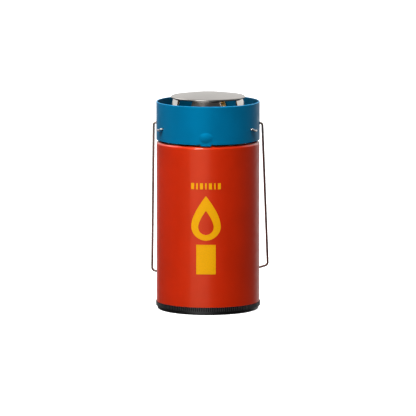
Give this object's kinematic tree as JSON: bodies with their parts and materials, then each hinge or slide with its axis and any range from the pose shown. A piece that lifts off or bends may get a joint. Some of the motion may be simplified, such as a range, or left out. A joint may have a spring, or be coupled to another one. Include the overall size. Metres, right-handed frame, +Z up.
{
  "type": "candle lantern",
  "caption": "Pocket candle lantern, closed: round case, sliding glass chimney under a raised ring and heat shield, twist-off ribbed base, and a swinging wire bail.",
  "frame": {"origin": "centre of the base's underside", "axes": "+Z up along the case, -Y towards the front, the hanging bail at +Y"},
  "size_m": [0.0586, 0.0535, 0.1073],
  "materials": {
    "case_paint": "satin red-orange powder coat",
    "ring_paint": "satin blue powder coat",
    "base_plastic": "moulded black, fine texture",
    "dome_steel": "soft brushed",
    "skirt_steel": "bright stamped sheet",
    "wire_steel": "drawn wire",
    "frame_steel": "bright drawn wire",
    "spring_steel": "spring temper",
    "zinc_steel": "zinc plated",
    "screw_steel": "bright plated",
    "tube_aluminium": "drawn tube",
    "cap_brass": "spun, satin",
    "chimney_glass": "clear",
    "wax": "ivory wax",
    "wick_cotton": "braided cotton"
  },
  "bodies": {
    "candle_unit": {"candle_tube": "tube_aluminium", "tube_floor": "zinc_steel", "candle_spring": "spring_steel"},
    "case": {"case_tube": "case_paint", "bayonet_ring": "zinc_steel"},
    "chimney": {"top_ring": "ring_paint", "vent_skirt": "skirt_steel", "heat_shield_dome": "dome_steel", "glass_chimney": "chimney_glass", "glass_carrier": "zinc_steel", "frame_wire_left": "frame_steel", "frame_wire_right": "frame_steel", "slide_springs": "spring_steel", "spring_rivets": "screw_steel"},
    "bail": {"bail_handle": "wire_steel"},
    "candle_stack": {"pusher_plate": "zinc_steel", "candle": "wax", "wick": "wick_cotton"},
    "cap": {"candle_cap": "cap_brass"},
    "base": {"base_cap": "base_plastic", "bayonet_collar": "zinc_steel", "base_screws": "screw_steel"}
  },
  "joints": [
    {"name": "case_slide", "type": "slide", "parent": "candle_unit", "child": "case", "axis": [0, 0, 1], "range_m": [0, 0.105]},
    {"name": "chimney_slide", "type": "slide", "parent": "case", "child": "chimney", "axis": [0, 0, 1], "range_m": [0, 0.057]},
    {"name": "bail_swing", "type": "hinge", "parent": "chimney", "child": "bail", "pos_m": [0, 0, 0.0922], "axis": [1, 0, 0], "range_deg": [0, 324]},
    {"name": "candle_feed", "type": "slide", "parent": "candle_unit", "child": "candle_stack", "axis": [0, 0, 1], "range_m": [-0.008, 0], "stiffness_N_per_m": 100, "springref_m": 0.03, "deforming": ["candle_spring"]},
    {"name": "cap_lift", "type": "slide", "parent": "candle_unit", "child": "cap", "axis": [0, 0, 1], "range_m": [0, 0.008]},
    {"name": "base_twist", "type": "hinge", "parent": "candle_unit", "child": "base", "pos_m": [0, 0, 0], "axis": [0, 0, 1], "range_deg": [0, 60]}
  ]
}
